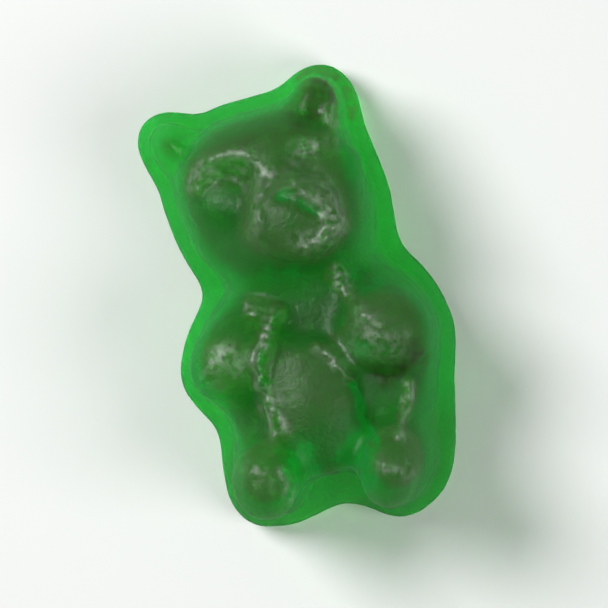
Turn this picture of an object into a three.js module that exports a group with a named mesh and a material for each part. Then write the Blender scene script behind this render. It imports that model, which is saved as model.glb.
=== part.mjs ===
// A gummy bear lying on its flat back, belly up: one solid of fruit gum, cast in an open mould.
// Millimetres. +Z points out of the belly, +Y towards the ears, and the back rests on Z = 0.
//
// The form is a field that is negative inside the gum. Every part of the body is a moulded lobe:
// a column that stands on the back, narrows upwards by the draft of the mould and ends in a dome.
// The lobes melt into each other, dents are pressed in, and the field is turned into a closed mesh.
import * as THREE from 'three';
import { mergeVertices } from 'three/addons/utils/BufferGeometryUtils.js';

// ---- driving dimensions -------------------------------------------------------------------------

const GRID_STEP = 0.47; // spacing of the points at which the field is read
const GRID_LOW = [-6.9, -11.6, -0.7]; // corner of the grid beyond the lowest x, y and z
const GRID_CELLS = [31, 49, 28];
const SETTLING = { rounds: 2, reach: 0.2, nudge: 0.05 }; // how vertices are moved onto the surface
const FILL_DEPTH = 0.02; // how far inside the gum a filled corner of the grid is taken to be

const BACK_EDGE = 1; // width over which the back turns up into the slab's side
const RIM_LEVEL = 1.2; // height at which the outline that the back slab follows is taken
const SLAB = { top: 2, edge: 1 }; // its height and how softly its top turns into its side
const DISH = { start: 2.4, end: 4.6, depth: 0.3 }; // the middle of the back sank as the gum set

// A lobe stands at x, y with half widths rx, ry, turned about Z by turn degrees. power 2 gives an
// ellipse and more a squarer outline. draft is how much each half width loses per millimetre of
// height, lean how far the centre moves per millimetre, top the height, dome how far the top falls
// towards its edge and shoulder how softly the top turns into the wall.
const LOBE = { turn: 0, power: 2, draft: 0.08, leanX: 0, leanY: 0, dome: 0.6, shoulder: 1 };

const TORSO = {
  ...LOBE, x: 0.5, y: -3.1, rx: 5.4, ry: 5.1, top: 8, power: 2.8, draft: 0.11, dome: 0.3,
  shoulder: 2,
};
const SEAT = { ...LOBE, x: -0.1, y: -7, rx: 3, ry: 2.4, top: 4.4, power: 2.6, shoulder: 1.2 };
const NECK = {
  ...LOBE, x: 0.6, y: 1.2, rx: 3.2, ry: 2.3, top: 7.6, power: 2.6, draft: 0.1, dome: 0.5,
  shoulder: 1.6,
};
const BELLY = {
  ...LOBE, x: -0.3, y: -5, rx: 2.4, ry: 3.3, top: 9.5, power: 2.3, draft: 0.02,
  shoulder: 0.7,
};

const HEAD = {
  ...LOBE, x: -0.1, y: 5.05, rx: 4.65, ry: 4.15, top: 8.5, turn: 5, power: 2.9,
  draft: 0.12, shoulder: 2.2,
};
const JAW = {
  ...LOBE, x: 0.3, y: 3.4, rx: 3.4, ry: 2.9, top: 9, turn: 7, power: 2.4, draft: 0.04,
  dome: 1, shoulder: 1.4,
};
const FOREHEAD = {
  ...LOBE, x: -0.1, y: 6.25, rx: 3.4, ry: 1.95, top: 9.8, turn: 5, power: 2.4,
  draft: 0, dome: 1.3,
};
const SNOUT = { ...LOBE, x: 1, y: 3.4, rx: 3.4, ry: 3.1, top: 11, draft: 0.12, dome: 0.4, shoulder: 0.9 };
const EARS = [
  { ...LOBE, x: -4.05, y: 7.95, rx: 1.2, ry: 1.4, top: 6.3, turn: 35, draft: 0.05, leanX: 0.04, dome: 1.1 },
  { ...LOBE, x: 3, y: 8.4, rx: 1.3, ry: 1.4, top: 8.2, turn: -20, draft: 0.04, leanX: -0.02, dome: 0.9 },
];
const ARMS = [
  {
    ...LOBE, x: -3.35, y: -1.95, rx: 2.5, ry: 1.95, top: 9.8, turn: 32, draft: 0.04, dome: 0.8,
    shoulder: 0.8,
  },
  {
    ...LOBE, x: 3.74, y: -2.35, rx: 2.35, ry: 2.1, top: 9.8, turn: -38, draft: 0.04, dome: 0.8,
    shoulder: 0.8,
  },
];
const LEGS = [
  {
    ...LOBE, x: -3, y: -7.5, rx: 1.9, ry: 2.15, top: 11.2, turn: -8, power: 2.3, draft: 0.05,
    leanX: -0.02, leanY: -0.03, shoulder: 1.3,
  },
  {
    ...LOBE, x: 3.05, y: -7.95, rx: 2.1, ry: 2.6, top: 11.5, turn: -22, leanX: -0.06, leanY: -0.05,
    shoulder: 1.3,
  },
];

// Eye sockets and the insides of the ears are balls taken away with a soft edge, and the eyes are
// balls set back into their sockets.
const SOCKETS = [
  { x: -2, y: 4.95, z: 10.2, radius: 2.05, soft: 0.5 },
  { x: 2.75, y: 5.25, z: 10.2, radius: 2, soft: 0.5 },
];
const EYES = [
  { x: -2, y: 4.85, z: 7.2, radius: 1.7 },
  { x: 2.75, y: 5.15, z: 7.3, radius: 1.6 },
];
const EAR_DIMPLES = [
  { x: -3.6, y: 7.8, z: 7.2, radius: 0.45, soft: 0.5 },
  { x: 3.15, y: 8.3, z: 9.1, radius: 1.2, soft: 0.6 },
];

// How softly neighbours melt together.
const SOFT = {
  trunk: 1.2, belly: 0.5, limb: 1.1, slab: 1.6,
  face: 0.9, snout: 1.3, ear: 0.9, eye: 0.25,
};

const GUM = new THREE.MeshStandardMaterial({ color: 0x1f8a3c, roughness: 0.35, metalness: 0 });

// ---- the field ----------------------------------------------------------------------------------

/** The smaller of two distances, rounded where they are within `width` of each other. */
function softMin(a, b, width) {
  const overlap = Math.max(width - Math.abs(a - b), 0) / width;
  return Math.min(a, b) - (overlap * overlap * width) / 4;
}

/** The larger of two distances, rounded where they are within `width` of each other. */
function softMax(a, b, width) {
  return -softMin(-a, -b, width);
}

/** Rises smoothly from 0 at `low` to 1 at `high`. */
function smoothRamp(value, low, high) {
  const t = Math.min(Math.max((value - low) / (high - low), 0), 1);
  return t * t * (3 - 2 * t);
}

/** Distance to a moulded lobe, negative inside. */
function lobeField(lobe, x, y, z) {
  const turn = THREE.MathUtils.degToRad(lobe.turn);
  const dx = x - lobe.x - lobe.leanX * z;
  const dy = y - lobe.y - lobe.leanY * z;
  const halfX = lobe.rx - lobe.draft * z;
  const halfY = lobe.ry - lobe.draft * z;
  const u = Math.abs(dx * Math.cos(turn) + dy * Math.sin(turn)) / halfX;
  const v = Math.abs(dy * Math.cos(turn) - dx * Math.sin(turn)) / halfY;
  const spread = (u ** lobe.power + v ** lobe.power) ** (1 / lobe.power);
  const wall = (spread - 1) * Math.min(halfX, halfY);
  const cap = z - lobe.top + lobe.dome * spread * spread;
  return softMax(wall, cap, lobe.shoulder);
}

/** Distance to a dent's ball, negative inside it. */
function ballField(ball, x, y, z) {
  return Math.hypot(x - ball.x, y - ball.y, z - ball.z) - ball.radius;
}

/** Joins lobes one by one to a field value. */
function joined(value, lobes, width, x, y, z) {
  return lobes.reduce((sum, lobe) => softMin(sum, lobeField(lobe, x, y, z), width), value);
}

/** Presses dents one by one into a field value. */
function dented(value, balls, x, y, z) {
  return balls.reduce((sum, ball) => softMax(sum, -ballField(ball, x, y, z), ball.soft), value);
}

/** Sets balls one by one into a field value. */
function studded(value, balls, width, x, y, z) {
  return balls.reduce((sum, ball) => softMin(sum, ballField(ball, x, y, z), width), value);
}

/** The head with its ears, forehead, eyes and snout. */
function headField(x, y, z) {
  let value = joined(lobeField(HEAD, x, y, z), [JAW, FOREHEAD], SOFT.face, x, y, z);
  value = dented(joined(value, EARS, SOFT.ear, x, y, z), EAR_DIMPLES, x, y, z);
  value = studded(dented(value, SOCKETS, x, y, z), EYES, SOFT.eye, x, y, z);
  return joined(value, [SNOUT], SOFT.snout, x, y, z);
}

/** The body with its head and limbs, before it gets its back. */
function bodyField(x, y, z) {
  let value = joined(lobeField(TORSO, x, y, z), [NECK, SEAT], SOFT.trunk, x, y, z);
  value = joined(value, [BELLY], SOFT.belly, x, y, z);
  value = joined(value, [...ARMS, ...LEGS], SOFT.limb, x, y, z);
  return softMin(value, headField(x, y, z), SOFT.limb);
}

/** The whole bear: the body melted into a slab of its own outline, with a dished back in a flat rim. */
function bearField(x, y, z) {
  const outline = bodyField(x, y, RIM_LEVEL);
  const slab = softMax(outline, z - SLAB.top, SLAB.edge);
  const dish = DISH.depth * smoothRamp(-outline, DISH.start, DISH.end);
  return softMax(softMin(bodyField(x, y, z), slab, SOFT.slab), dish - z, BACK_EDGE);
}

// ---- from the field to a mesh -------------------------------------------------------------------

/**
 * Fills one corner of every grid square whose corners are inside and outside by turns, where two
 * sheets of the surface would share an edge, and returns how many it filled.
 */
function closeCheckerboards(values, index) {
  const [nx, ny, nz] = GRID_CELLS;
  let filled = 0;
  for (let k = 0; k < nz; k += 1) {
    for (let j = 0; j < ny; j += 1) {
      for (let i = 0; i < nx; i += 1) {
        const squares = [
          [index(i, j, k), index(i + 1, j, k), index(i + 1, j + 1, k), index(i, j + 1, k)],
          [index(i, j, k), index(i, j + 1, k), index(i, j + 1, k + 1), index(i, j, k + 1)],
          [index(i, j, k), index(i, j, k + 1), index(i + 1, j, k + 1), index(i + 1, j, k)],
        ];
        for (const square of squares) {
          const outside = square.filter((n) => values[n] >= 0);
          const [a, b, c] = square.map((n) => values[n] < 0);
          if (outside.length !== 2 || a !== c || a === b) continue;
          const nearer = values[outside[0]] < values[outside[1]] ? outside[0] : outside[1];
          values[nearer] = -FILL_DEPTH;
          filled += 1;
        }
      }
    }
  }
  return filled;
}

/** Moves a point along the slope of `field` onto its surface, by at most the reach in each round. */
function settled(point, field) {
  const { rounds, reach, nudge } = SETTLING;
  for (let round = 0; round < rounds; round += 1) {
    const { x, y, z } = point;
    const value = field(x, y, z);
    const slope = new THREE.Vector3(
      field(x + nudge, y, z) - value,
      field(x, y + nudge, z) - value,
      field(x, y, z + nudge) - value,
    ).divideScalar(nudge);
    const move = slope.multiplyScalar(-value / slope.lengthSq());
    point.add(move.clampLength(0, reach));
  }
  return point.toArray();
}

/** Closed triangle mesh of the surface where `field` is zero, one vertex for each crossed cell. */
function surfaceOf(field) {
  const [nx, ny, nz] = GRID_CELLS;
  const index = (i, j, k) => (k * (ny + 1) + j) * (nx + 1) + i;
  const at = (i, j, k) => [i, j, k].map((n, axis) => GRID_LOW[axis] + n * GRID_STEP);
  const values = new Float64Array((nx + 1) * (ny + 1) * (nz + 1));
  for (let k = 0; k <= nz; k += 1) {
    for (let j = 0; j <= ny; j += 1) {
      for (let i = 0; i <= nx; i += 1) values[index(i, j, k)] = field(...at(i, j, k));
    }
  }

  while (closeCheckerboards(values, index) > 0);

  const positions = [];
  const cellVertex = new Map();
  for (let k = 0; k < nz; k += 1) {
    for (let j = 0; j < ny; j += 1) {
      for (let i = 0; i < nx; i += 1) {
        const point = cellPoint(i, j, k);
        if (point) {
          cellVertex.set(index(i, j, k), positions.length / 3);
          positions.push(...settled(point, field));
        }
      }
    }
  }

  /** Mean of the points where the surface crosses the edges of a cell, or null. */
  function cellPoint(i, j, k) {
    const sum = new THREE.Vector3();
    let crossings = 0;
    for (let corner = 0; corner < 8; corner += 1) {
      for (let axis = 0; axis < 3; axis += 1) {
        if ((corner >> axis) & 1) continue;
        const from = [i + (corner & 1), j + ((corner >> 1) & 1), k + ((corner >> 2) & 1)];
        const to = from.map((n, a) => n + (a === axis ? 1 : 0));
        const a = values[index(...from)];
        const b = values[index(...to)];
        if (a < 0 === b < 0) continue;
        const start = new THREE.Vector3(...at(...from));
        sum.add(start.lerp(new THREE.Vector3(...at(...to)), a / (a - b)));
        crossings += 1;
      }
    }
    return crossings ? sum.divideScalar(crossings) : null;
  }

  const triangles = [];
  for (let k = 1; k < nz; k += 1) {
    for (let j = 1; j < ny; j += 1) {
      for (let i = 1; i < nx; i += 1) {
        for (let axis = 0; axis < 3; axis += 1) addQuad([i, j, k], axis);
      }
    }
  }

  /** Joins the four cells round a crossed grid edge, with the faces pointing out. */
  function addQuad(corner, axis) {
    const next = corner.map((n, a) => n + (a === axis ? 1 : 0));
    const inside = values[index(...corner)] < 0;
    if (inside === values[index(...next)] < 0) return;
    const [p, q] = [(axis + 1) % 3, (axis + 2) % 3];
    const cells = [[-1, -1], [0, -1], [0, 0], [-1, 0]].map(([sp, sq]) => {
      const cell = [...corner];
      cell[p] += sp;
      cell[q] += sq;
      return cellVertex.get(index(...cell));
    });
    const [a, b, c, d] = inside ? cells : cells.reverse();
    if (gap(a, c) < gap(b, d)) triangles.push(a, b, c, a, c, d);
    else triangles.push(a, b, d, b, c, d);
  }

  /** Distance between two vertices. */
  function gap(a, b) {
    const [p, q] = [a, b].map((n) => new THREE.Vector3().fromArray(positions, 3 * n));
    return p.distanceTo(q);
  }

  const geometry = new THREE.BufferGeometry();
  geometry.setAttribute('position', new THREE.Float32BufferAttribute(positions, 3));
  geometry.setIndex(triangles);
  return geometry;
}

// ---- the part -----------------------------------------------------------------------------------

/** The bear as one closed mesh, centred over the origin with its back on Z = 0. */
function gummyBear() {
  const geometry = mergeVertices(surfaceOf(bearField));
  geometry.computeBoundingBox();
  const middle = geometry.boundingBox.getCenter(new THREE.Vector3());
  geometry.translate(-middle.x, -middle.y, -geometry.boundingBox.min.z);
  geometry.computeVertexNormals();
  const mesh = new THREE.Mesh(geometry, GUM);
  mesh.name = 'gummy_bear';
  return mesh;
}

const group = new THREE.Group();
group.add(gummyBear());

export default group;
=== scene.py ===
"""A gummy bear of green fruit gum, lying on its flat back with its belly up.

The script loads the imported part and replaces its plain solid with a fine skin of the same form. The
form is a field that is negative inside the gum: every part of the body is a moulded lobe that stands
on the back and narrows upwards, the lobes melt into each other, and dents are pressed in. Sizes of
the form are in millimetres and the meshes in metres. Left and right are those of someone who looks
at the face with the ears at the top.
"""

import logging
import math
from dataclasses import dataclass, field
from enum import Enum

import bpy
import numpy as np
from mathutils import Matrix, Vector


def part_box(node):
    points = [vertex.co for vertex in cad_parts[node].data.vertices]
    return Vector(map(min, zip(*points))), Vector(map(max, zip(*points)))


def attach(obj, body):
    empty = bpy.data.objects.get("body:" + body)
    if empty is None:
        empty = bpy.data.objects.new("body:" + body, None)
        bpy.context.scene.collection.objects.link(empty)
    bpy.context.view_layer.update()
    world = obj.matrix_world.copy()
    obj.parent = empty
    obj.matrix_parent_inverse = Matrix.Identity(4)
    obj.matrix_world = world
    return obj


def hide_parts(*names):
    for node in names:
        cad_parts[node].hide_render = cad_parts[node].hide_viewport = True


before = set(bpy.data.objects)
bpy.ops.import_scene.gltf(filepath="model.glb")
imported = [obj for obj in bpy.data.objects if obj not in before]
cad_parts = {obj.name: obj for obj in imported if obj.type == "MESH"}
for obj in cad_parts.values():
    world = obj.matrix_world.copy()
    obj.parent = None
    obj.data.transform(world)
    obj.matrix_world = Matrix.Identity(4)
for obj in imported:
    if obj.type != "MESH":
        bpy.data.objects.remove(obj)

LOG = logging.getLogger("gummy_bear")
NODE = "gummy_bear"
MM = 0.001  # metres in a millimetre

# Numbers that the skin holds at every vertex, for its finish to read.
STEEP = "steep"  # 0 where the skin lies level, 1 on an upright wall
DEPTH_AND_SHADE = "deep"  # how much gum lies behind the skin: 0 at the rim, 1 in the middle, more where it is dark, plus painted shade at the foot end, the chest and under the right paw
WORN = "worn"  # how far the skin is rubbed to an olive sheen

LIGHT_BOUNCES = 24
GLOSSY_BOUNCES = 16

Points = np.ndarray  # a row of x, y and z for each point
Values = np.ndarray  # a number for each point
Span = tuple[float, float]  # where something starts and where it is complete
Line = tuple[tuple[float, float], ...]  # the points that a line joins, by x and y
Place = tuple[float, float, float]
Colour = tuple[float, float, float]
Socket = bpy.types.NodeSocket
Feed = Socket | bpy.types.Material | float | tuple[float, ...]


# ---- the field ----


def soft_min(a: Values, b: Values, width: float) -> Values:
    """Takes the smaller of two distances, rounded where they are close.

    Args:
        a: one distance at each point.
        b: the other distance at each point.
        width: how close the two are where the rounding starts.

    Returns:
        The joined distance at each point.
    """
    overlap = np.maximum(width - np.abs(a - b), 0.0) / width
    return np.minimum(a, b) - overlap * overlap * (width / 4)


def soft_max(a: Values, b: Values, width: float) -> Values:
    """Takes the larger of two distances, rounded where they are within width of each other."""
    return -soft_min(-a, -b, width)


def smooth_ramp(value: Values, low: float, high: float) -> Values:
    """Rises smoothly from 0 at low to 1 at high."""
    t = np.clip((value - low) / (high - low), 0.0, 1.0)
    return t * t * (3 - 2 * t)


@dataclass(frozen=True)
class Lobe:
    """A column that stands on the back, narrows upwards by its draft and ends in a dome.

    Attributes:
        x, y: its place on the back.
        rx, ry: its half widths at the back.
        top: its height.
        turn: its turn about Z in degrees.
        power: 2 gives an ellipse and more a squarer outline.
        draft: how much each half width loses per millimetre of height.
        lean_x, lean_y: how far its centre moves per millimetre of height.
        dome: how far the top falls towards its edge.
        shoulder: how softly the top turns into the wall.
    """

    x: float
    y: float
    rx: float
    ry: float
    top: float
    turn: float = 0.0
    power: float = 2.0
    draft: float = 0.08
    lean_x: float = 0.0
    lean_y: float = 0.0
    dome: float = 0.6
    shoulder: float = 1.0

    def at(self, p: Points) -> Values:
        """Gives the distance to the lobe.

        Args:
            p: the points that are asked about.

        Returns:
            The distance at each point, negative inside.
        """
        z = p[:, 2]
        turn = math.radians(self.turn)
        dx = p[:, 0] - self.x - self.lean_x * z
        dy = p[:, 1] - self.y - self.lean_y * z
        half_x = self.rx - self.draft * z
        half_y = self.ry - self.draft * z
        u = np.abs(dx * math.cos(turn) + dy * math.sin(turn)) / half_x
        v = np.abs(dy * math.cos(turn) - dx * math.sin(turn)) / half_y
        spread = (u**self.power + v**self.power) ** (1 / self.power)
        wall = (spread - 1) * np.minimum(half_x, half_y)
        cap = z - self.top + self.dome * spread * spread
        return soft_max(wall, cap, self.shoulder)


@dataclass(frozen=True)
class Ball:
    """A ball that is set into the form or pressed into it.

    Attributes:
        x, y, z: its centre.
        radius: its radius.
        soft: how softly the edge of its dent is rounded, where it is pressed in.
    """

    x: float
    y: float
    z: float
    radius: float
    soft: float = 0.4

    def at(self, p: Points) -> Values:
        """Gives the distance to the ball at each point, negative inside."""
        centre = np.array([self.x, self.y, self.z], p.dtype)
        return np.linalg.norm(p - centre, axis=1) - self.radius


@dataclass
class BearForm:
    """The form of the bear as a field, in millimetres. Of two like parts the left one comes first.

    Attributes:
        torso, seat, neck, belly: the lobes of the trunk.
        head, jaw, forehead, snout: the lobes of the head.
        ears, arms, legs: a lobe for each of them.
        sockets, eyes: a ball that is pressed into the face for each eye, and a ball that is set in it.
        ear_dimples: a ball that is pressed into each ear.
        snout_melt, trunk_melt, face_melt, ear_melt, eye_melt, belly_melt, limb_melt, slab_melt: how
            near each other the parts are where they start to melt into one.
        slab_top, slab_edge: the height of the slab round the outline, and how round its edge is.
        rim_level: the height at which the slab takes its outline from the body.
        back_edge: how round the edge of the back is.
        dish_start, dish_end: how far inside the outline the hollow of the back starts and is complete.
        dish_depth: how deep that hollow is.
        deep_heights, front_inset: the heights, and the distances inside the outline, over which the
            front comes to look deep.
        back_inset, back_heights: the same for the back, which looks deep below those heights.
        feet_shade, feet_reach: painted shade that makes the foot end look at least this deep, and the
        distances towards it over which that comes in.
        worn_heights, worn_share: the heights over which the tops come to look worn, and how much.
    """

    torso: Lobe = Lobe(0.5, -3.1, 5.4, 5.1, 8.0, power=2.8, draft=0.11, dome=0.3, shoulder=2.0)
    seat: Lobe = Lobe(-0.1, -7.0, 3.0, 2.4, 4.4, power=2.6, shoulder=1.2)
    neck: Lobe = Lobe(0.6, 1.2, 3.2, 2.3, 7.6, power=2.6, draft=0.1, dome=0.5, shoulder=1.6)
    belly: Lobe = Lobe(-0.3, -5.0, 2.4, 3.3, 9.5, power=2.3, draft=0.02, dome=0.6, shoulder=0.7)
    head: Lobe = Lobe(-0.1, 5.05, 4.65, 4.15, 8.5, turn=5, power=2.9, draft=0.12, shoulder=2.2)
    jaw: Lobe = Lobe(0.3, 3.4, 3.4, 2.9, 9.0, turn=7, power=2.4, draft=0.04, dome=1.0, shoulder=1.4)
    forehead: Lobe = Lobe(-0.1, 6.25, 3.4, 1.95, 9.8, turn=5, power=2.4, draft=0, dome=1.3)
    snout: Lobe = Lobe(1.0, 3.4, 3.4, 3.1, 11.0, draft=0.12, dome=0.4, shoulder=0.9)
    ears: tuple[Lobe, ...] = (
        Lobe(-4.05, 7.95, 1.2, 1.4, 6.3, turn=35, lean_x=0.04, draft=0.05, dome=1.1),
        Lobe(3.0, 8.4, 1.3, 1.4, 8.2, turn=-20, lean_x=-0.02, draft=0.04, dome=0.9),
    )
    arms: tuple[Lobe, ...] = (
        Lobe(-3.35, -1.95, 2.5, 1.95, 9.8, turn=32, draft=0.04, dome=0.8, shoulder=0.8),
        Lobe(3.74, -2.35, 2.35, 2.1, 9.8, turn=-38, draft=0.04, dome=0.8, shoulder=0.8),
    )
    legs: tuple[Lobe, ...] = (
        Lobe(-3.0, -7.5, 1.9, 2.15, 11.2, power=2.3, turn=-8, lean_x=-0.02, lean_y=-0.03,
             draft=0.05, dome=0.6, shoulder=1.3),
        Lobe(3.05, -7.95, 2.1, 2.6, 11.5, turn=-22, lean_x=-0.06, lean_y=-0.05,
             draft=0.08, dome=0.6, shoulder=1.3),
    )
    sockets: tuple[Ball, ...] = (Ball(-2.0, 4.95, 10.2, 2.05, 0.5), Ball(2.75, 5.25, 10.2, 2.0, 0.5))
    eyes: tuple[Ball, ...] = (Ball(-2.0, 4.85, 7.2, 1.7), Ball(2.75, 5.15, 7.3, 1.6))
    ear_dimples: tuple[Ball, ...] = (Ball(-3.6, 7.8, 7.2, 0.45, 0.5), Ball(3.15, 8.3, 9.1, 1.2, 0.6))
    snout_melt: float = 1.3
    trunk_melt: float = 1.2
    face_melt: float = 0.9
    ear_melt: float = 0.9
    eye_melt: float = 0.25
    belly_melt: float = 0.5
    limb_melt: float = 1.1
    slab_melt: float = 1.6
    slab_top: float = 2.0
    slab_edge: float = 1.0
    rim_level: float = 1.2
    back_edge: float = 1.0
    dish_start: float = 2.4
    dish_end: float = 4.6
    dish_depth: float = 0.3
    deep_heights: Span = (2.5, 6.8)
    front_inset: Span = (0.2, 1.3)
    back_inset: Span = (0.5, 3.0)
    back_heights: Span = (0.5, 2.5)
    feet_shade: float = 0.5
    feet_reach: Span = (4.0, 7.5)
    worn_heights: Span = (8.0, 9.7)
    worn_share: float = 0.5

    def head_field(self, p: Points) -> Values:
        """Joins the head with its ears, forehead, eyes and snout.

        Args:
            p: the points that are asked about.

        Returns:
            The distance to the head at each point, negative inside.
        """
        value = self.head.at(p)
        for lobe in (self.jaw, self.forehead):
            value = soft_min(value, lobe.at(p), self.face_melt)
        for ear in self.ears:
            value = soft_min(value, ear.at(p), self.ear_melt)
        for dent in self.ear_dimples + self.sockets:
            value = soft_max(value, -dent.at(p), dent.soft)
        for eye in self.eyes:
            value = soft_min(value, eye.at(p), self.eye_melt)
        return soft_min(value, self.snout.at(p), self.snout_melt)

    def body_field(self, p: Points) -> Values:
        """Joins the trunk with the head and the limbs, before it gets its slab and its back.

        Args:
            p: the points that are asked about.

        Returns:
            The distance to the body at each point, negative inside.
        """
        value = soft_min(self.torso.at(p), self.neck.at(p), self.trunk_melt)
        value = soft_min(value, self.seat.at(p), self.trunk_melt)
        value = soft_min(value, self.belly.at(p), self.belly_melt)
        for limb in self.arms + self.legs:
            value = soft_min(value, limb.at(p), self.limb_melt)
        return soft_min(value, self.head_field(p), self.limb_melt)

    def outline_field(self, p: Points) -> Values:
        """Finds how far each point is from the outline that the slab follows.

        Args:
            p: the points that are asked about, whose own heights don't matter.

        Returns:
            The distance to the outline at each point, negative inside.
        """
        level = p.copy()
        level[:, 2] = self.rim_level
        return self.body_field(level)

    def depth(self, p: Points) -> Values:
        """Finds how much gum lies behind the skin, with painted shade towards the foot end.

        Args:
            p: points on the skin.

        Returns:
            A number at each point, from 0 at the rim to 1.
        """
        inset = -self.outline_field(p)
        front = smooth_ramp(p[:, 2], *self.deep_heights) * smooth_ramp(inset, *self.front_inset)
        low = 1 - smooth_ramp(p[:, 2], *self.back_heights)
        back = low * smooth_ramp(inset, *self.back_inset)
        # painted shade: the foot end is darkened as if less light reached it
        foot_shade = self.feet_shade * smooth_ramp(-p[:, 1], *self.feet_reach)
        return np.maximum.reduce([front, back, foot_shade])

    def wear(self, p: Points) -> Values:
        """Gives how worn the skin is by its height alone, from 0 to worn_share."""
        return self.worn_share * smooth_ramp(p[:, 2], *self.worn_heights)

    def at(self, p: Points) -> Values:
        """Gives the distance to the whole bear.

        Args:
            p: the points that are asked about.

        Returns:
            The distance at each point, negative inside.
        """
        outline = self.outline_field(p)
        slab = soft_max(outline, p[:, 2] - self.slab_top, self.slab_edge)
        dish = self.dish_depth * smooth_ramp(-outline, self.dish_start, self.dish_end)
        whole = soft_min(self.body_field(p), slab, self.slab_melt)
        return soft_max(whole, dish - p[:, 2], self.back_edge)


# ---- from the field to a mesh ----

# The eight corners of a grid cell, and its twelve edges as a first corner and the axis they run along.
CORNERS = tuple(tuple((n >> axis) & 1 for axis in range(3)) for n in range(8))
EDGES = tuple((corner, axis) for corner in CORNERS for axis in range(3) if not corner[axis])
# The four cells round a grid edge, in turn, as steps along the two axes that cross the edge.
RING = ((-1, -1), (0, -1), (0, 0), (-1, 0))


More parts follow.
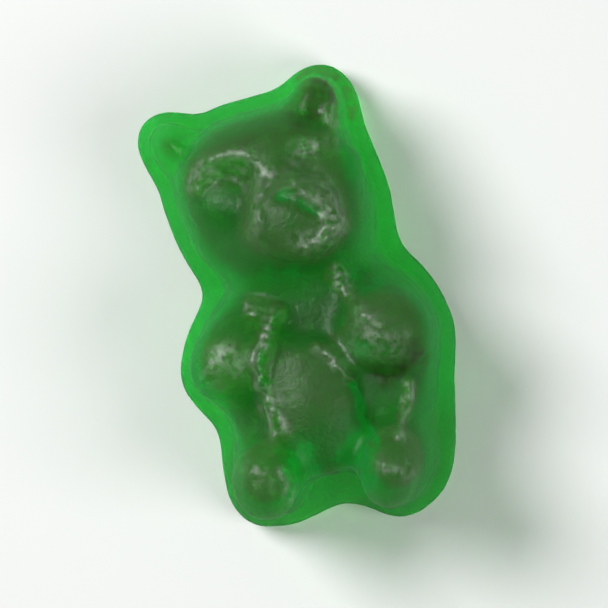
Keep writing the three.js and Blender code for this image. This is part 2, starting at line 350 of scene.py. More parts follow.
@dataclass(frozen=True)
class SkinNet:
    """Turns a field into a closed mesh with one vertex for each grid cell that the surface crosses.

    Attributes:
        low: the grid's lowest corner.
        high: the corner that the grid reaches at least.
        step: the spacing of the fine grid.
        skip: how many fine steps the coarse grid takes.
        band: how near the surface the field is read on the fine grid, in coarse steps.
        rounds: how many times the vertices are moved onto the surface.
        least_slope: the least squared slope of the field that a move is worked out with.
        least_move: the least length that a move is taken to have, so that nothing is divided by zero.
    """

    low: Place = (-7.3, -11.7, -0.8)
    high: Place = (7.3, 11.9, 12.6)
    step: float = 0.125
    skip: int = 4
    band: float = 1.6
    rounds: int = 2
    least_slope: float = 0.05
    least_move: float = 1e-9

    def build(self, form: BearForm) -> tuple[Points, np.ndarray]:
        """Makes the skin of a form.

        Args:
            form: the form whose field is zero on the skin.

        Returns:
            The vertices in millimetres, and the quads as rows of four vertex numbers.
        """
        values = self.grid(form)
        inside = values < 0
        cells, numbers = self.crossed(inside)
        vertices = self.settled(self.placed(values, cells), form)
        return vertices, self.quads(inside, numbers)

    def grid(self, form: BearForm) -> np.ndarray:
        """Reads the field on the fine grid, exactly near the surface and coarsely elsewhere.

        Args:
            form: the form whose field is read.

        Returns:
            The field's value at each point of the fine grid.
        """
        wide = self.step * self.skip
        counts = [math.ceil((high - low) / wide) for low, high in zip(self.low, self.high)]
        coarse = [low + wide * np.arange(n + 1) for low, n in zip(self.low, counts)]
        points = np.stack(np.meshgrid(*coarse, indexing="ij"), -1).reshape(-1, 3)
        values = form.at(points).reshape([n + 1 for n in counts])
        for axis in range(3):
            values = self.refined(values, axis)
        fine = [low + self.step * np.arange(n * self.skip + 1) for low, n in zip(self.low, counts)]
        near = np.argwhere(np.abs(values) < self.band * wide)
        points = np.stack([fine[axis][near[:, axis]] for axis in range(3)], -1)
        values[tuple(near.T)] = form.at(points)
        return values

    def refined(self, values: np.ndarray, axis: int) -> np.ndarray:
        """Puts skip - 1 values between every two along an axis, on a straight line.

        Args:
            values: the values on a grid.
            axis: the axis along which the grid gets finer.

        Returns:
            The values on the finer grid.
        """
        moved = np.moveaxis(values, axis, 0)
        steps = np.arange(self.skip).reshape(1, -1, *[1] * (moved.ndim - 1)) / self.skip
        between = moved[:-1, None] * (1 - steps) + moved[1:, None] * steps
        filled = between.reshape(-1, *moved.shape[1:])
        return np.moveaxis(np.concatenate([filled, moved[-1:]]), 0, axis)

    def crossed(self, inside: np.ndarray) -> tuple[np.ndarray, np.ndarray]:
        """Finds the cells that the surface crosses.

        Args:
            inside: whether each point of the fine grid is inside the form.

        Returns:
            The place of each such cell in the grid, and for every cell its number among them or -1.
        """
        shape = [n - 1 for n in inside.shape]
        count = np.zeros(shape, np.uint8)
        for corner in CORNERS:
            count += inside[tuple(slice(first, first + n) for first, n in zip(corner, shape))]
        cells = np.argwhere((count > 0) & (count < len(CORNERS)))
        numbers = np.full(shape, -1)
        numbers[tuple(cells.T)] = np.arange(len(cells))
        return cells, numbers

    def placed(self, values: np.ndarray, cells: np.ndarray) -> Points:
        """Puts a vertex into each cell, in the middle of where the surface crosses the cell's edges.

        Args:
            values: the field's value at each point of the fine grid.
            cells: the places of the crossed cells in the grid.

        Returns:
            The vertices in millimetres.
        """
        total = np.zeros((len(cells), 3))
        crossings = np.zeros((len(cells), 1))
        for corner, axis in EDGES:
            start = cells + np.array(corner)
            end = start + np.eye(3, dtype=int)[axis]
            near, far = values[tuple(start.T)], values[tuple(end.T)]
            crossed = (near < 0) != (far < 0)
            share = np.where(crossed, near / np.where(crossed, near - far, 1), 0)
            point = start.astype(float)
            point[:, axis] += share
            total[crossed] += point[crossed]
            crossings[crossed] += 1
        return np.array(self.low) + self.step * total / crossings

    def settled(self, vertices: Points, form: BearForm) -> Points:
        """Moves vertices along the field's slope onto the surface, by at most half a step a round.

        Args:
            vertices: the vertices near the surface.
            form: the form whose surface they are moved to.

        Returns:
            The moved vertices.
        """
        reach = self.step / 2
        nudge = self.step / 8
        for _ in range(self.rounds):
            value = form.at(vertices)
            ahead = [form.at(vertices + nudge * np.eye(3)[axis]) for axis in range(3)]
            slope = np.stack([there - value for there in ahead], -1) / nudge
            steepness = np.maximum((slope**2).sum(1), self.least_slope)
            move = -slope * (value / steepness)[:, None]
            length = np.maximum(np.linalg.norm(move, axis=1, keepdims=True), self.least_move)
            vertices = vertices + move * np.minimum(1, reach / length)
        return vertices

    def quads(self, inside: np.ndarray, numbers: np.ndarray) -> np.ndarray:
        """Joins the vertices of the four cells round every grid edge that the surface crosses.

        Args:
            inside: whether each point of the fine grid is inside the form.
            numbers: for every cell the number of its vertex, or -1.

        Returns:
            Rows of four vertex numbers, ordered so that the faces point outwards.
        """
        parts = []
        for axis in range(3):
            across, along = (axis + 1) % 3, (axis + 2) % 3
            edges = np.argwhere(inside != np.roll(inside, -1, axis))
            edges = edges[(edges[:, across] > 0) & (edges[:, along] > 0)]
            edges = edges[edges[:, axis] < numbers.shape[axis]]
            ring = []
            for step_across, step_along in RING:
                cell = edges.copy()
                cell[:, across] += step_across
                cell[:, along] += step_along
                ring.append(numbers[tuple(cell.T)])
            faces = np.stack(ring, -1)
            leaving = inside[tuple(edges.T)]
            parts.append(np.where(leaving[:, None], faces, faces[:, ::-1]))
        return np.concatenate(parts)


# ---- fine marks ----

ARC_STEPS = 12  # straight steps that an arc is made of


def arc(x: float, y: float, radius: float, start: float, end: float) -> Line:
    """Gives points along an arc.

    Args:
        x: the arc's centre along X.
        y: the arc's centre along Y.
        radius: its radius.
        start: the angle at which it starts, in degrees from +X.
        end: the angle at which it ends.

    Returns:
        The points from start to end.
    """
    angles = [math.radians(start + (end - start) * n / ARC_STEPS) for n in range(ARC_STEPS + 1)]
    return tuple((x + radius * math.cos(a), y + radius * math.sin(a)) for a in angles)


@dataclass(frozen=True)
class Wave:
    """A sine wave over the front, by its radians per millimetre along X and along Y."""

    along_x: float
    along_y: float

    def at(self, x: Values, y: Values) -> Values:
        """Gives the wave at each point, from -1 to 1."""
        return np.sin(self.along_x * x + self.along_y * y)


@dataclass(frozen=True)
class Unevenness:
    """What keeps the line of a mark from being straight and even.

    Attributes:
        sway: how far the line wanders, in millimetres.
        sway_waves: the wave that moves it along X, and the one that moves it along Y.
        patches, patch_waves: how much its strength changes in patches, and the two waves that cross
            each other to make them.
        lumps, lump_waves: the same for small lumps.
    """

    sway: float = 0.1
    sway_waves: tuple[Wave, Wave] = (Wave(1.0, 3.1), Wave(2.7, -1.0))
    patches: float = 0.3
    patch_waves: tuple[Wave, Wave] = (Wave(4.3, -2.2), Wave(1.3, 3.7))
    lumps: float = 0.2
    lump_waves: tuple[Wave, Wave] = (Wave(10.0, 4.6), Wave(-3.8, 9.2))

    def swayed(self, x: Values, y: Values) -> np.ndarray:
        """Gives the places where a straight line is looked up, as rows of x and y."""
        waves = [wave.at(x, y) for wave in self.sway_waves]
        return np.stack([x + self.sway * waves[0], y + self.sway * waves[1]], -1)

    def share(self, x: Values, y: Values) -> Values:
        """Gives how strong a mark is, which is about 1 everywhere.

        Args:
            x: each point's place along X.
            y: each point's place along Y.

        Returns:
            The strength at each point.
        """
        first, second = (wave.at(x, y) for wave in self.patch_waves)
        patches = self.patches * first * second
        first, second = (wave.at(x, y) for wave in self.lump_waves)
        lumps = self.lumps * first * second
        return 1 + patches + lumps


UNEVENNESS = Unevenness()


@dataclass(frozen=True)
class Mark:
    """A fine ridge or crease on the front, or a patch of its own look, along a line seen from above.

    Attributes:
        line: the points that the line joins.
        height: how far the skin stands proud along it, negative for a crease.
        width: how far beside the line the mark has faded to about a third.
        clear: how much of the deep look is gone along it, or how much darker it is made where negative,
        which at the chest and under the right paw is painted shade.
        worn: how much more the skin is rubbed to an olive sheen along it, or less where negative.
        front: the heights over which the mark comes in, so that the back stays plain.
    """

    line: Line
    height: float
    width: float
    clear: float = 0.0
    worn: float = 0.0
    front: Span = (3.0, 5.0)

    def strength(self, p: Points) -> Values:
        """Finds how strong the mark is.

        Args:
            p: points on the skin.

        Returns:
            A number at each point, about 1 on the line and falling to 0 beside it.
        """
        x, y = p[:, 0], p[:, 1]
        swayed = UNEVENNESS.swayed(x, y)
        gap = np.full(len(p), np.inf)
        for start, end in zip(self.line, self.line[1:]):
            first = np.array(start)
            run = np.array(end) - first
            along = np.clip((swayed - first) @ run / (run @ run), 0, 1)
            gap = np.minimum(gap, np.linalg.norm(swayed - first - along[:, None] * run, axis=1))
        fading = np.exp(-((gap / self.width) ** 2))
        return fading * UNEVENNESS.share(x, y) * smooth_ramp(p[:, 2], *self.front)


LOW_FRONT = (1.5, 3.0)  # the heights over which a mark in a gap between the legs comes in
EAR_FRONT = (0.8, 2.0)  # the same for the ear's edge, which is lower still

MARKS = {
    # the face
    "left brow": Mark(arc(-2.0, 4.8, 1.45, 30, 140), 0.14, 0.5),
    "left brow sheen": Mark(arc(-2.0, 4.85, 1.7, 20, 135), 0.0, 0.62, worn=1.0),
    "left temple sheen": Mark(((-3.6, 5.9), (-3.0, 6.6)), 0.0, 0.5, worn=0.5),
    "right brow": Mark(arc(2.8, 5.1, 1.35, 40, 150), 0.16, 0.4),
    "right brow sheen": Mark(arc(2.9, 5.2, 1.4, 30, 160), 0.0, 0.5, worn=0.8),
    "right eye sheen": Mark(((2.5, 5.4), (3.1, 5.2)), 0.0, 0.6, worn=0.35),
    "nose tip": Mark(((0.95, 5.15), (1.2, 5.0)), 0.3, 0.45, worn=0.2),
    "nose": Mark(((0.65, 4.65), (1.3, 4.1), (1.95, 3.65)), -0.2, 0.32, clear=0.65, worn=-0.3),
    "snout flank": Mark(((-0.4, 5.0), (-0.8, 4.2), (-0.9, 3.3)), 0.25, 0.32, worn=0.5),
    "snout edge": Mark(
        ((2.1, 4.7), (2.7, 3.9), (2.8, 2.9), (2.2, 2.2), (1.2, 1.9)), 0.2, 0.4, worn=0.1
    ),
    "snout sheen": Mark(
        ((1.1, 2.2), (1.8, 2.3), (2.6, 2.7), (2.6, 3.4), (2.2, 4.3)), 0.0, 0.62, worn=0.7
    ),
    "snout corner": Mark(((2.2, 2.1), (2.6, 2.4)), 0.4, 0.4, clear=0.2, worn=2.2),
    # the left arm, side and leg
    "left shoulder": Mark(((-2.0, 0.1), (-1.5, -0.1), (-1.0, -0.8)), 0.3, 0.36, worn=2.2),
    "left shoulder top": Mark(((-2.15, 0.05), (-1.9, 0.0)), 0.28, 0.32, worn=1.5),
    "left shoulder end": Mark(((-1.15, -0.4), (-1.0, -0.6)), 0.3, 0.32, worn=1.5),
    "left arm": Mark(((-1.0, -0.8), (-2.0, -2.1), (-2.3, -3.5)), 0.5, 0.32, clear=0.4, worn=1.8),
    "left arm top": Mark(((-3.8, -0.6), (-2.6, -1.0)), 0.0, 0.6, clear=-0.25, worn=-0.5),
    "left paw sheen": Mark(((-4.5, -2.6), (-3.7, -2.2)), 0.0, 1.2, worn=0.4),
    "left side": Mark(((-2.5, -3.5), (-2.2, -5.0), (-2.4, -6.5)), 0.35, 0.28, clear=0.2, worn=0.3),
    "left side sheen": Mark(((-2.3, -4.6), (-2.1, -5.3)), 0.0, 0.45, worn=1.3),
    "left hip": Mark(((-3.6, -4.6), (-3.6, -5.6)), 0.0, 0.8, clear=-0.3),
    "left foot": Mark(((-2.2, -7.4), (-1.95, -8.7)), 0.35, 0.28, clear=0.3, worn=1.8),
    "left thigh gap": Mark(((-1.3, -7.0), (-1.2, -8.5)), 0.0, 0.7, clear=1.0, worn=-0.3, front=LOW_FRONT),
    "left toe": Mark(((-3.7, -7.0), (-3.1, -7.2)), 0.2, 0.45, worn=0.4),
    # the belly and beside it
    "belly sheen": Mark(((-1.2, -2.7), (-0.3, -3.6)), 0.0, 1.1, worn=0.05),
    "under the belly": Mark(((-1.2, -7.2), (0.8, -7.0)), 0.0, 1.2, worn=-0.6),
    "right belly": Mark(((0.5, -2.4), (1.8, -4.1)), 0.3, 0.25, worn=0.4),
    "right crease": Mark(((1.7, -4.4), (1.7, -5.4), (2.0, -6.9)), -0.25, 0.2, clear=1.0, worn=-0.4),
    "right thigh gap": Mark(((1.1, -7.2), (0.8, -8.6)), 0.0, 0.9, clear=1.0, worn=-0.3, front=LOW_FRONT),
    # the right arm and leg
    "right shoulder": Mark(((2.0, 0.6), (2.5, -0.3), (2.75, -1.4)), 0.3, 0.36, worn=1.7),
    "right neck": Mark(((2.6, 0.7), (3.7, -0.2)), 0.0, 0.8, clear=0.55, worn=0.3),
    "right paw sheen": Mark(((1.9, -2.7), (3.3, -3.4)), 0.0, 0.8, clear=0.5, worn=1.3),
    # painted shadow: the crease under the right paw is real, its dark brown is painted shade
    "shadow under right paw": Mark(((3.2, -4.2), (4.9, -3.9)), -0.3, 0.6, clear=-1.0),
    "right hip": Mark(((4.2, -5.1), (3.8, -5.9), (3.25, -7.2)), 0.5, 0.3, clear=0.2, worn=2.0),
    "right foot": Mark(((2.05, -8.0), (2.2, -8.2)), 0.28, 0.45, worn=0.6),
    "right toe": Mark(((3.2, -8.8), (3.4, -9.0)), 0.28, 0.45, worn=0.6),
    # the right ear
    "right ear": Mark(((3.7, 9.7), (4.1, 8.8), (4.0, 7.4)), 0.3, 0.35, worn=1.8),
    "right ear inside": Mark(((2.9, 8.2), (3.2, 8.6), (3.5, 9.3)), 0.0, 1.1, clear=-1.3, worn=0.3),
    "right ear edge": Mark(
        ((4.4, 7.8), (4.3, 8.7), (3.8, 9.5), (2.9, 9.9)), 0.0, 0.8, clear=-0.8, worn=1.0, front=EAR_FRONT
    ),
    "right temple": Mark(((3.5, 8.0), (3.6, 6.7)), 0.3, 0.28, worn=1.8),
    # patches of another look between them
    "snout top": Mark(((-0.2, 3.7), (1.0, 3.0)), 0.0, 0.7, worn=-0.15),
    "left eye": Mark(((-2.6, 4.7), (-1.9, 4.7)), 0.0, 0.7, worn=-0.25),
    "forehead": Mark(((-1.2, 7.5), (1.8, 7.8)), 0.0, 0.9, clear=-0.2),
    "chin": Mark(((-0.8, 1.3), (0.6, 1.0)), 0.0, 0.7, clear=0.45, worn=-0.2),
    # the chest recess is darker with less sheen: partly its thicker gum, partly painted shade
    "chest shade": Mark(((-0.3, -1.1), (1.0, -1.0)), 0.0, 0.8, clear=-0.2, worn=-0.3),
}


# ---- node trees ----


class Rise(Enum):
    """How a ramp goes from its start to its end."""

    STRAIGHT = "LINEAR"
    SMOOTH = "SMOOTHSTEP"


@dataclass(frozen=True)
class Wiring:
    """A node tree, with short ways to add its nodes and to link them.

    Attributes:
        tree: the tree that gets the nodes.
    """

    tree: bpy.types.NodeTree

    def feed(self, node: bpy.types.Node, inputs: dict[str | int, Feed]) -> None:
        """Links or sets the inputs of a node.

        Args:
            node: the node whose inputs they are.
            inputs: for each input, by its name or number, the socket that feeds it or its value.
        """
        for key, value in inputs.items():
            if isinstance(value, Socket):
                self.tree.links.new(value, node.inputs[key])
            else:
                node.inputs[key].default_value = value

    def add(self, kind: str, inputs: dict[str | int, Feed], **settings: str) -> bpy.types.Node:
        """Adds a node.

        Args:
            kind: the node's type.
            inputs: what its inputs get, as in feed.
            settings: the node's own settings by name, which are made first.

        Returns:
            The new node.
        """
        node = self.tree.nodes.new(kind)
        for name, value in settings.items():
            setattr(node, name, value)
        self.feed(node, inputs)
        return node

    def maths(self, operation: str, *values: Feed) -> Socket:
        """Joins values with one operation and gives the result."""
        return self.add("ShaderNodeMath", dict(enumerate(values)), operation=operation).outputs[0]

    def ramp(self, value: Feed, span: Span, rise: Rise, to: Span = (0.0, 1.0)) -> Socket:
        """Adds a ramp.

        Args:
            value: the value that goes in.
            span: the values between which the ramp rises.
            rise: how it rises.
            to: what it gives at the start and at the end of the span, and beyond them.

        Returns:
            The socket of the result.
        """
        (low, high), (start, end) = span, to
        inputs = {"Value": value, "From Min": low, "From Max": high, "To Min": start, "To Max": end}
        return self.add("ShaderNodeMapRange", inputs, interpolation_type=rise.value).outputs[0]

    def mix(self, share: Feed, first: Feed, second: Feed) -> Socket:
        """Mixes two colours.

        Args:
            share: how much of the second colour there is.
            first: the colour where share is 0.
            second: the colour where share is 1.

        Returns:
            The socket of the mixed colour.
        """
        inputs = {"Factor": share, "A": first, "B": second}
        return self.add("ShaderNodeMix", inputs, data_type="RGBA").outputs["Result"]

    def attribute(self, name: str) -> Socket:
        """Reads a number that the mesh holds at every vertex."""
        return self.add("ShaderNodeAttribute", {}, attribute_name=name).outputs["Fac"]


# ---- the finish ----


def opaque(colour: Colour) -> tuple[float, ...]:
    """Gives a colour with its fourth number, as sockets want it."""
    return (*colour, 1.0)


@dataclass(frozen=True)
class GumFinish:
    """Translucent green fruit gum with a satin, finely grained skin. Its sizes are in millimetres.

    Attributes:
        name: the name of the material.
        rim_colour, core_colour: the colour where the gum is thin, and where it is thick.
        olive_colour, brown_colour: the core's colour where the skin is worn, and where it is darkest,
        which includes the painted shadow under the right paw.
        core_depths: the depths over which the rim's colour turns into the core's.
        olive_wear: the wear over which the core's colour turns olive.
        brown_depths: the depths over which it turns brown.
        blotch, blotch_share: the size of soft blotches, and how much they move depth and wear.
        sheen_wear: the wear over which the sheen comes in.
        sheen_roughness, sheen_ior: how rough and how strong the sheen is.
        speck, speck_levels: the size of the specks that break up the sheen, and the levels of their
            noise over which they come in.
        roughness, wall_roughness: how rough level skin and upright walls are.
        ior, gloss: how strongly the gum bends light, and how glossy its skin is.
        transmission: how much of the light goes into the gum.
        scatter_depth, scatter_spread: how far light scatters under the skin, and the share of that
            distance for red, green and blue.
        absorb_colour, absorb_density: the colour that the inside lets through, and how much it takes
            per metre.
        grain, grain_height: the size and the height of the fine grain.
        coarse_detail, fine_detail: how many finer layers the noise of the blotches has, and that of
            the specks and the grain.
    """

    name: str = "green fruit gum"
    rim_colour: Colour = (0.04, 0.95, 0.17)
    core_colour: Colour = (0.09, 0.52, 0.1)
    olive_colour: Colour = (0.22, 0.49, 0.14)
    brown_colour: Colour = (0.14, 0.14, 0.05)
    core_depths: Span = (0.1, 0.9)
    olive_wear: Span = (0.1, 0.5)
    brown_depths: Span = (1.0, 2.0)
    blotch: float = 1.6
    blotch_share: float = 0.3
    sheen_wear: Span = (0.45, 1.0)
    sheen_roughness: float = 0.55
    sheen_ior: float = 2.1
    speck: float = 0.35
    speck_levels: Span = (0.32, 0.66)
    roughness: float = 0.42
    wall_roughness: float = 0.9
    ior: float = 1.3
    gloss: float = 0.4
    transmission: float = 0.88
    scatter_depth: float = 2.0
    scatter_spread: Colour = (0.4, 1.0, 0.5)
    absorb_colour: Colour = (0.12, 0.80, 0.30)
    absorb_density: float = 450.0
    grain: float = 0.22
    grain_height: float = 0.04
    coarse_detail: float = 2.0
    fine_detail: float = 3.0

    def material(self) -> bpy.types.Material:
        """Builds the material of the gum.

        Returns:
            The material, which reads the numbers that the skin holds at its vertices.
        """
        made = bpy.data.materials.new(self.name)
        made.use_nodes = True
        nodes = made.node_tree.nodes
        wiring = Wiring(made.node_tree)
        place = wiring.add("ShaderNodeTexCoord", {}).outputs["Object"]
        rough = (self.roughness, self.wall_roughness)
        wiring.feed(nodes["Principled BSDF"], {
            "Base Color": self.colour(wiring, place),
            "Roughness": wiring.ramp(wiring.attribute(STEEP), (0.0, 1.0), Rise.STRAIGHT, rough),
            "IOR": self.ior,
            "Normal": self.grained(wiring, place),
            "Subsurface Weight": 1.0,
            "Subsurface Radius": self.scatter_spread,
            "Subsurface Scale": self.scatter_depth * MM,
            "Specular IOR Level": self.gloss,
            "Transmission Weight": self.transmission,
            "Coat Weight": self.sheen(wiring, place),
            "Coat Roughness": self.sheen_roughness,
            "Coat IOR": self.sheen_ior,
        })
        inside = {"Color": opaque(self.absorb_colour), "Density": self.absorb_density}
        volume = wiring.add("ShaderNodeVolumeAbsorption", inside).outputs["Volume"]
        wiring.feed(nodes["Material Output"], {"Volume": volume})
        return made

    def noise(self, wiring: Wiring, place: Socket, size: float, detail: float) -> Socket:
        """Adds a noise.

        Args:
            wiring: the material's node tree.
            place: the place on the object.
            size: how wide its patches are, in millimetres.
            detail: how many finer layers it has.

        Returns:
            The socket of the noise, from 0 to 1.
        """
        inputs = {"Vector": place, "Scale": 1 / (size * MM), "Detail": detail}
        return wiring.add("ShaderNodeTexNoise", inputs).outputs[0]

    def colour(self, wiring: Wiring, place: Socket) -> Socket:
        """Builds the colour: bright at the rim, and deep green, olive or brown in the middle and in the
        painted shade.

        Args:
            wiring: the material's node tree.
            place: the place on the object.

        Returns:
            The socket of the colour.
        """
        blotches = self.noise(wiring, place, self.blotch, self.coarse_detail)
        # The blotches add half their share on average, so the spans move up by as much.
        half = self.blotch_share / 2
        depths = tuple(depth + half for depth in self.core_depths)
        wear = tuple(level + half for level in self.olive_wear)
        deep, worn = wiring.attribute(DEPTH_AND_SHADE), wiring.attribute(WORN)
        blotchy_deep = wiring.maths("MULTIPLY_ADD", blotches, self.blotch_share, deep)
        blotchy_worn = wiring.maths("MULTIPLY_ADD", blotches, self.blotch_share, worn)
        olive = wiring.ramp(blotchy_worn, wear, Rise.SMOOTH)
        brown = wiring.ramp(deep, self.brown_depths, Rise.STRAIGHT)
        core = wiring.ramp(blotchy_deep, depths, Rise.SMOOTH)
        inner = wiring.mix(olive, opaque(self.core_colour), opaque(self.olive_colour))
        dark = wiring.mix(brown, inner, opaque(self.brown_colour))
        return wiring.mix(core, opaque(self.rim_colour), dark)

    def sheen(self, wiring: Wiring, place: Socket) -> Socket:
        """Builds the strength of the sheen, which lies on worn skin and is broken up by specks.

        Args:
            wiring: the material's node tree.
            place: the place on the object.

        Returns:
            The socket of the strength.
        """
        noise = self.noise(wiring, place, self.speck, self.fine_detail)
        specks = wiring.ramp(noise, self.speck_levels, Rise.SMOOTH)
        rubbed = wiring.ramp(wiring.attribute(WORN), self.sheen_wear, Rise.STRAIGHT)
        return wiring.maths("MULTIPLY", specks, rubbed)

    def grained(self, wiring: Wiring, place: Socket) -> Socket:
        """Builds the fine grain.

        Args:
            wiring: the material's node tree.
            place: the place on the object.

        Returns:
            The socket of the skin's normal.
        """
        height = self.noise(wiring, place, self.grain, self.fine_detail)
        inputs = {"Strength": 1.0, "Distance": self.grain_height * MM, "Height": height}
        return wiring.add("ShaderNodeBump", inputs).outputs[0]


@dataclass(frozen=True)
class Relief:
    """The skin's unevenness: soft waves and fine wrinkles that lift and lower it.

    Attributes:
        wave, wave_length: height and length of the soft waves in millimetres.
        wave_detail: how many finer layers the waves have.
        wrinkle, wrinkle_length: height and length of the fine wrinkles in millimetres.
        wrinkle_detail: how many finer layers the wrinkles have.
        foot: how far above the floor the relief reaches its full height, in millimetres.
        seed: the fourth coordinate of both noises.
    """

    wave: float = 0.11
    wave_length: float = 2.6
    wave_detail: float = 1.0
    wrinkle: float = 0.025
    wrinkle_length: float = 0.55
    wrinkle_detail: float = 2.0
    foot: float = 0.6
    seed: float = 4.0

    def sizes(self) -> dict[str, float]:
        """Gives the value of each input of the tree, with lengths in metres."""
        return {
            "Wave": self.wave * MM,
            "Wave Length": self.wave_length * MM,
            "Wrinkle": self.wrinkle * MM,
            "Wrinkle Length": self.wrinkle_length * MM,
            "Foot": self.foot * MM,
            "Seed": self.seed,
        }

    def layer(self, wiring: Wiring, given: bpy.types.Node, name: str, detail: float) -> Socket:
        """Adds one layer of the relief.

        Args:
            wiring: the tree that gets it.
            given: the node of the tree's inputs.
            name: the input that holds its height, whose length is the input of that name and Length.
            detail: how many finer layers its noise has.

        Returns:
            The socket of the layer's lift, between minus and plus its height.
        """
        place = wiring.add("GeometryNodeInputPosition", {}).outputs[0]
        scale = wiring.maths("DIVIDE", 1.0, given.outputs[f"{name} Length"])
        inputs = {"Vector": place, "W": given.outputs["Seed"], "Scale": scale, "Detail": detail}
        noise = wiring.add("ShaderNodeTexNoise", inputs, noise_dimensions="4D").outputs[0]
        centred = wiring.maths("SUBTRACT", noise, 0.5)
        return wiring.maths("MULTIPLY", centred, wiring.maths("MULTIPLY", given.outputs[name], 2.0))

    def tree(self, material: bpy.types.Material) -> bpy.types.NodeTree:
        """Builds the node tree that lifts the skin and gives it its material.

        Args:
            material: what the skin is made of.

        Returns:
            The tree, with an input for each of the relief's sizes.
        """
        tree = bpy.data.node_groups.new("skin relief", "GeometryNodeTree")
        face = tree.interface
        face.new_socket("Geometry", in_out="INPUT", socket_type="NodeSocketGeometry")
        for name in self.sizes():
            face.new_socket(name, in_out="INPUT", socket_type="NodeSocketFloat")
        face.new_socket("Geometry", in_out="OUTPUT", socket_type="NodeSocketGeometry")
        wiring = Wiring(tree)
        given = wiring.add("NodeGroupInput", {})
        waves = self.layer(wiring, given, "Wave", self.wave_detail)
        wrinkles = self.layer(wiring, given, "Wrinkle", self.wrinkle_detail)
        place = wiring.add("GeometryNodeInputPosition", {}).outputs[0]
        height = wiring.add("ShaderNodeSeparateXYZ", {0: place}).outputs["Z"]
        fade = wiring.maths("DIVIDE", height, given.outputs["Foot"])
        fade.node.use_clamp = True
        lift = wiring.maths("MULTIPLY", wiring.maths("ADD", waves, wrinkles), fade)
        normal = wiring.add("GeometryNodeInputNormal", {}).outputs[0]
        offset = wiring.add("ShaderNodeVectorMath", {0: normal, "Scale": lift}, operation="SCALE")
        skin = {"Geometry": given.outputs["Geometry"], "Offset": offset.outputs[0]}
        moved = wiring.add("GeometryNodeSetPosition", skin)
        real = wiring.add("GeometryNodeRealizeInstances", {0: moved.outputs[0]})
        gum = {"Geometry": real.outputs[0], "Material": material}
        dressed = wiring.add("GeometryNodeSetMaterial", gum)
        wiring.add("NodeGroupOutput", {0: dressed.outputs[0]})
        return tree

    def applied(self, mesh: bpy.types.Mesh, material: bpy.types.Material) -> bpy.types.Mesh:
        """Runs the tree on a mesh.

        Args:
            mesh: the smooth skin in metres.
            material: what the skin is made of.

        Returns:
            The uneven skin as a plain mesh.
        """
        smooth = bpy.data.objects.new("smooth skin", mesh)
        bpy.context.scene.collection.objects.link(smooth)
        modifier = smooth.modifiers.new("relief", "NODES")
        modifier.node_group = self.tree(material)
        sizes = self.sizes()
        for item in modifier.node_group.interface.items_tree:
            if item.in_out == "INPUT" and item.name in sizes:
                modifier[item.identifier] = sizes[item.name]
        graph = bpy.context.evaluated_depsgraph_get()
        made = bpy.data.meshes.new_from_object(smooth.evaluated_get(graph))
        bpy.data.objects.remove(smooth)
        return made


# ---- the bear ----


@dataclass
class GummyBear:
    """The bear's skin, built from its form and set where the plain solid is.

    Attributes:
        form: the form as a field.
        net: what turns the field into a mesh.
        finish: the gum that it is made of.
        relief: the unevenness of the skin.
        most_added: the most depth that marks add to the look of the skin, which at the chest and under
        the right paw is painted shade.
        wall_fade: how fast that depth comes in from the walls to the level skin.
    """

    form: BearForm = field(default_factory=BearForm)
    net: SkinNet = field(default_factory=SkinNet)
    finish: GumFinish = field(default_factory=GumFinish)
    relief: Relief = field(default_factory=Relief)
    most_added: float = 2.0
    wall_fade: float = 3.0

    def build(self) -> bpy.types.Object:
        """Makes the skin and dresses it.

        Returns:
            The finished piece, riding on the part's one body.
        """
        mesh = self.skin()
        piece = bpy.data.objects.new("bear", self.relief.applied(mesh, self.finish.material()))
        bpy.context.scene.collection.objects.link(piece)
        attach(piece, "root")
        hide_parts(NODE)
        return piece

    def skin(self) -> bpy.types.Mesh:
        """Makes the smooth skin with its fine marks, and the numbers that the finish reads.

        Returns:
            The mesh in metres.
        """
        vertices, quads = self.net.build(self.form)
        middle, place = self.seat(vertices)
        mesh = bpy.data.meshes.new("bear_skin")
        mesh.from_pydata((vertices - middle) * MM + place, [], quads.tolist())
        mesh.validate()
        mesh.shade_smooth()
        # How far the skin faces up is read before the marks lift it, so that it changes softly.
        upward = np.array([vertex.normal.z for vertex in mesh.vertices])
        strengths = [(mark, mark.strength(vertices)) for mark in MARKS.values()]
        raised = sum(mark.height * strength for mark, strength in strengths)
        clear = sum(mark.clear * strength for mark, strength in strengths)
        worn = sum(mark.worn * strength for mark, strength in strengths)
        vertices[:, 2] += raised
        mesh.vertices.foreach_set("co", ((vertices - middle) * MM + place).ravel())
        mesh.update()
        facing = np.clip(upward, 0, 1)
        # A negative clear darkens level skin; at the chest and under the right paw this is painted shade.
        added = np.clip(-clear, 0, self.most_added) * np.clip(facing * self.wall_fade, 0, 1)
        deep = self.form.depth(vertices) * (1 - np.clip(clear, 0, 1)) + added
        self.note(mesh, STEEP, 1 - np.abs(upward))
        self.note(mesh, DEPTH_AND_SHADE, deep)
        self.note(mesh, WORN, self.form.wear(vertices) + worn * facing)
        return mesh

    def seat(self, vertices: Points) -> tuple[np.ndarray, np.ndarray]:
        """Finds where the skin goes.

        Args:
            vertices: the vertices of the skin in millimetres.

        Returns:
            The middle of the skin's underside in millimetres, and that of the solid's in metres.
        """
        low, high = (np.array(corner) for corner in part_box(NODE))
        middle = (vertices.min(0) + vertices.max(0)) / 2
        middle[2] = vertices[:, 2].min()
        place = (low + high) / 2
        place[2] = low[2]
        return middle, place

    @staticmethod
    def note(mesh: bpy.types.Mesh, name: str, values: Values) -> None:
        """Writes a number at every vertex, for the finish to read."""
        layer = mesh.attributes.new(name, "FLOAT", "POINT")
        layer.data.foreach_set("value", values)


# ---- the stage ----


class Lamp(Enum):
    """The soft lights: azimuth and elevation in degrees, size in metres, power in watts."""

    KEY = (138, 52, 0.13, 0.85)
    FILL = (-35, 48, 0.16, 0.38)


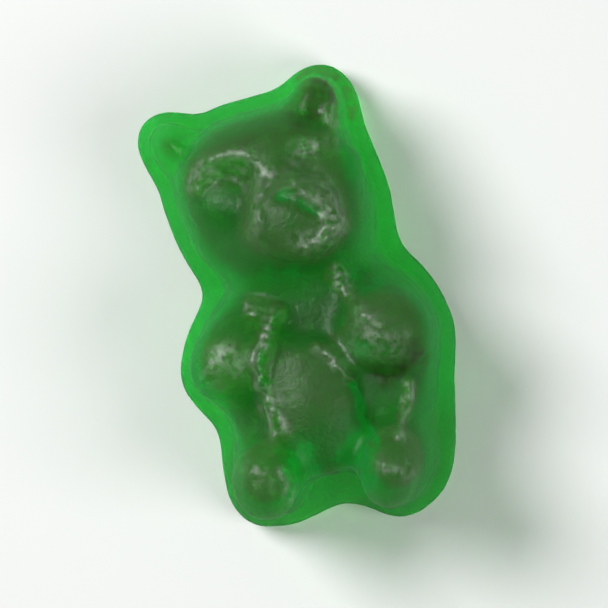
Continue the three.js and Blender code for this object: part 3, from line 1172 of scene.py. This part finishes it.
@dataclass(frozen=True)
class Stage:
    """The floor, the soft lights, the pale surroundings and the camera.

    Attributes:
        floor_half: half the length of the floor's sides, in metres.
        floor_gap: how far the floor lies under the back, in metres, so that the two don't touch.
        floor_colour, floor_roughness: its paint.
        lamp_distance: how far the lights hang from the bear, in metres.
        sky_colour, sky_strength: the light of the surroundings.
        camera_side, camera_roll: how far the camera leans to the right of straight down, and how far
            it is turned about its view, in degrees.
        lens, sensor: the camera's focal length and the width of its picture, in millimetres.
        bear_share: the bear's length as a share of the picture's width.
        clip: how many times nearer and farther than the bear the camera still sees.
        target: the point that the camera and the lights face, in metres.
    """

    floor_half: float = 0.6
    floor_gap: float = 0.00003
    floor_colour: Colour = (0.78, 0.79, 0.78)
    floor_roughness: float = 0.8
    lamp_distance: float = 0.3
    sky_colour: Colour = (1.0, 1.0, 1.0)
    sky_strength: float = 0.17
    camera_side: float = 2.0
    camera_roll: float = 13.5
    lens: float = 500.0
    sensor: float = 36.0
    bear_share: float = 0.76
    clip: float = 10.0
    target: Place = (0.0, 0.0, 0.004)

    def build(self) -> None:
        """Makes everything round the bear."""
        self.floor()
        self.lights()
        self.sky()
        self.camera()

    def floor(self) -> None:
        """Makes the plain pale floor."""
        mesh = bpy.data.meshes.new("floor")
        half, z = self.floor_half, -self.floor_gap
        corners = [(-half, -half, z), (half, -half, z), (half, half, z), (-half, half, z)]
        mesh.from_pydata(corners, [], [(0, 1, 2, 3)])
        paint = bpy.data.materials.new("pale floor")
        paint.use_nodes = True
        shader = paint.node_tree.nodes["Principled BSDF"]
        shader.inputs["Base Color"].default_value = opaque(self.floor_colour)
        shader.inputs["Roughness"].default_value = self.floor_roughness
        mesh.materials.append(paint)
        floor = bpy.data.objects.new("floor", mesh)
        bpy.context.scene.collection.objects.link(floor)

    def lights(self) -> None:
        """Hangs the soft lights."""
        for lamp in Lamp:
            azimuth, elevation, size, power = lamp.value
            data = bpy.data.lights.new(lamp.name.lower(), "AREA")
            data.shape = "DISK"
            data.size = size
            data.energy = power
            light = bpy.data.objects.new(lamp.name.lower(), data)
            a, e = math.radians(azimuth), math.radians(elevation)
            way = Vector((math.cos(a) * math.cos(e), math.sin(a) * math.cos(e), math.sin(e)))
            light.location = Vector(self.target) + way * self.lamp_distance
            light.rotation_euler = way.to_track_quat("Z", "Y").to_euler()
            bpy.context.scene.collection.objects.link(light)

    def sky(self) -> None:
        """Makes the even white surroundings."""
        world = bpy.data.worlds.new("studio")
        world.use_nodes = True
        background = world.node_tree.nodes["Background"]
        background.inputs["Color"].default_value = opaque(self.sky_colour)
        background.inputs["Strength"].default_value = self.sky_strength
        bpy.context.scene.world = world

    def camera(self) -> None:
        """Sets the camera over the belly, a little to the side, with the ears towards the upper left."""
        low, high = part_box(NODE)
        width = (high.y - low.y) / self.bear_share
        distance = width * self.lens / self.sensor
        data = bpy.data.cameras.new("camera")
        data.lens = self.lens
        data.sensor_width = self.sensor
        data.clip_start = distance / self.clip
        data.clip_end = distance * self.clip
        camera = bpy.data.objects.new("camera", data)
        side = math.radians(self.camera_side)
        roll = Matrix.Rotation(math.radians(-self.camera_roll), 4, "Z")
        way = Vector((math.sin(side), 0, math.cos(side)))
        stand = Matrix.Translation(Vector(self.target) + way * distance)
        camera.matrix_world = stand @ (Matrix.Rotation(side, 4, "Y") @ roll)
        bpy.context.scene.collection.objects.link(camera)
        bpy.context.scene.camera = camera


def main() -> None:
    """Builds the bear and the stage round it."""
    logging.basicConfig(level=logging.INFO, format="%(name)s: %(message)s")
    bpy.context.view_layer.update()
    bear = GummyBear().build()
    LOG.info("%s: %d faces", bear.name, len(bear.data.polygons))
    Stage().build()
    bpy.context.scene.view_settings.view_transform = "Standard"
    paths = bpy.context.scene.cycles
    paths.max_bounces = paths.transmission_bounces = LIGHT_BOUNCES
    paths.glossy_bounces = GLOSSY_BOUNCES


if __name__ == "__main__":
    main()
